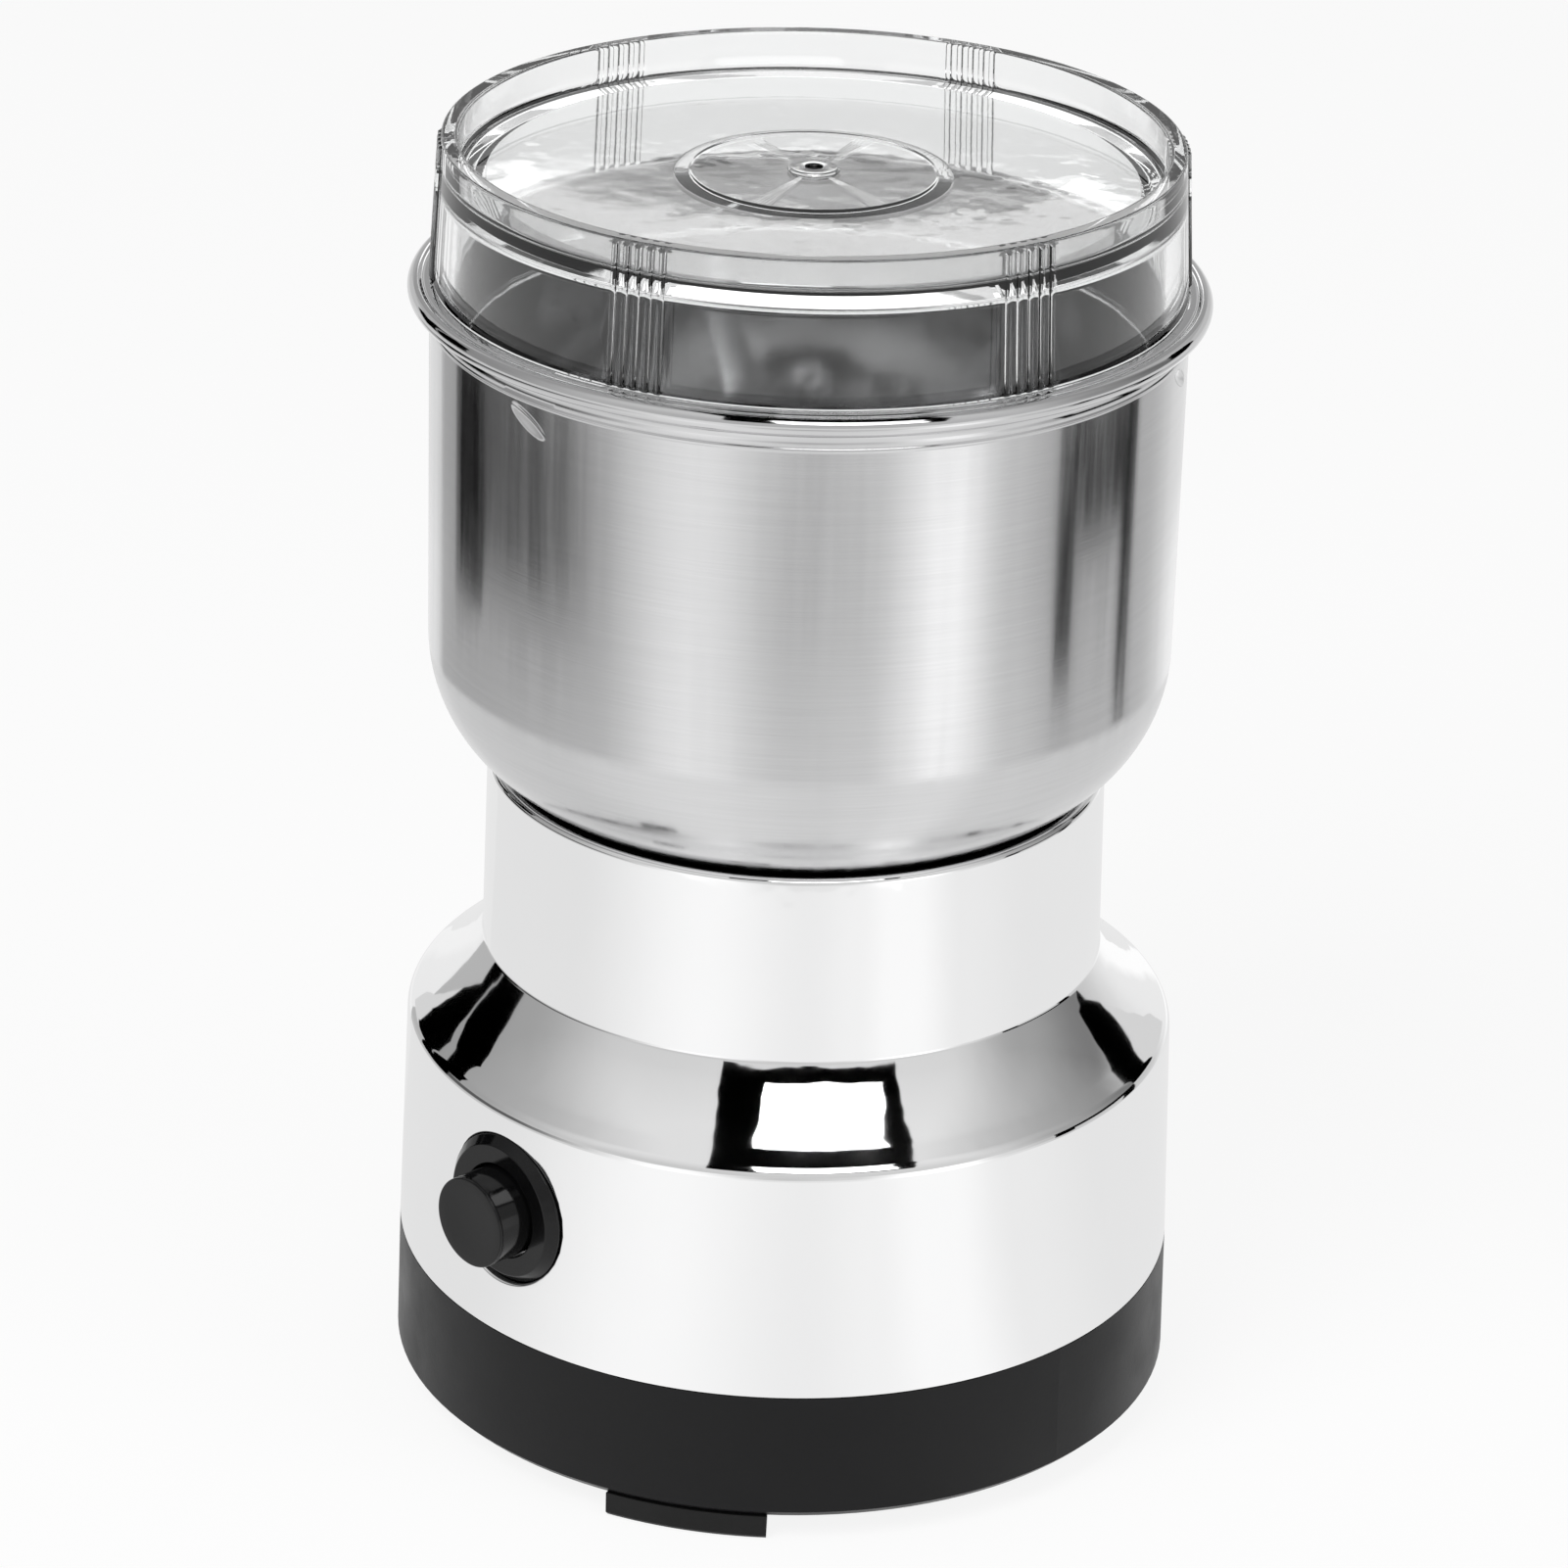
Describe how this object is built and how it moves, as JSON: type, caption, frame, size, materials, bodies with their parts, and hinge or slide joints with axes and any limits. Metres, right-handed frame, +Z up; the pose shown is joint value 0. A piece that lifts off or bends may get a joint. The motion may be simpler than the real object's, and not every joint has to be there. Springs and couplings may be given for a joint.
{
  "type": "electric spice grinder",
  "caption": "Electric spice grinder: clear lid, lift-out steel bowl with winged blades, chrome housing on a black base, and a push button.",
  "frame": {"origin": "on the motor's axis, in the plane the feet stand on", "axes": "+Z up along the motor's axis, the push button faces -Y, the cord's inlet faces +Y"},
  "size_m": [0.1054, 0.1104, 0.175],
  "materials": {
    "clear_plastic": "clear moulded plastic",
    "bowl_steel": "brushed inside and out, worn bright",
    "plated_chrome": "mirror plating on a moulding",
    "black_base": "fine matt moulding",
    "black_gloss": "polished moulding",
    "black_rubber": "soft matt",
    "screw_steel": "zinc plated",
    "die_cast": "as cast, machined faces",
    "bronze": "sintered bronze",
    "blade_steel": "ground",
    "coupling_nylon": "glass-filled nylon",
    "core_steel": "stacked laminations",
    "copper": "enamelled copper",
    "carbon": "pressed carbon",
    "spring_steel": "drawn wire",
    "switch_plastic": "moulded phenolic",
    "terminal_brass": "tinned brass"
  },
  "bodies": {
    "base": {"base_cover": "black_base", "foot_1": "black_rubber", "foot_2": "black_rubber", "foot_3": "black_rubber", "base_screws": "screw_steel", "cord_grommet": "black_rubber", "chrome_housing": "plated_chrome", "bowl_seat": "black_base", "seat_screws": "screw_steel", "stator_core": "core_steel", "field_coils": "copper", "upper_bracket": "die_cast", "lower_bracket": "die_cast", "lower_bearing": "bronze", "upper_bearing": "bronze", "motor_bolts": "screw_steel", "rubber_mounts": "black_rubber", "mount_screws": "screw_steel", "motor_cup": "black_rubber", "brush_holders": "coupling_nylon", "carbon_brushes": "carbon", "brush_springs": "spring_steel", "button_bezel": "black_gloss", "button_spring": "spring_steel", "switch_body": "switch_plastic", "switch_terminals": "terminal_brass", "switch_carrier": "coupling_nylon", "switch_screws": "screw_steel"},
    "rotor": {"motor_shaft": "blade_steel", "rotor_core": "core_steel", "rotor_winding": "copper", "commutator": "copper", "cooling_fan": "coupling_nylon", "drive_coupling": "coupling_nylon"},
    "bowl": {"grinding_bowl": "bowl_steel", "bowl_collar": "black_base", "bearing_hub": "die_cast", "hub_nut": "die_cast", "lower_bushing": "bronze", "upper_bushing": "bronze", "spindle_seal": "black_rubber"},
    "blades": {"blade_spindle": "blade_steel", "driven_coupling": "coupling_nylon", "lower_blade": "blade_steel", "upper_blade": "blade_steel", "blade_spacer": "blade_steel", "blade_washer": "blade_steel", "blade_nut": "blade_steel"},
    "button": {"button_cap": "black_gloss", "switch_plunger": "switch_plastic"},
    "lid": {"lid": "clear_plastic"}
  },
  "joints": [
    {"name": "motor_spin", "type": "hinge", "parent": "base", "child": "rotor", "pos_m": [0, 0, 0.04], "axis": [0, 0, 1], "continuous": true},
    {"name": "bowl_lift", "type": "slide", "parent": "base", "child": "bowl", "axis": [0, 0, 1], "range_m": [0, 0.03]},
    {"name": "blade_spin", "type": "hinge", "parent": "bowl", "child": "blades", "pos_m": [0, 0, 0.09], "axis": [0, 0, 1], "continuous": true},
    {"name": "lid_lift", "type": "slide", "parent": "bowl", "child": "lid", "axis": [0, 0, 1], "range_m": [0, 0.04]},
    {"name": "button_press", "type": "slide", "parent": "base", "child": "button", "axis": [0, 1, 0], "range_m": [0, 0.0035], "stiffness_N_per_m": 700, "springref_m": -0.003, "deforming": ["button_spring"]}
  ],
  "couplings": [
    {"joint": "blade_spin", "follows": "motor_spin", "ratio": 1}
  ]
}
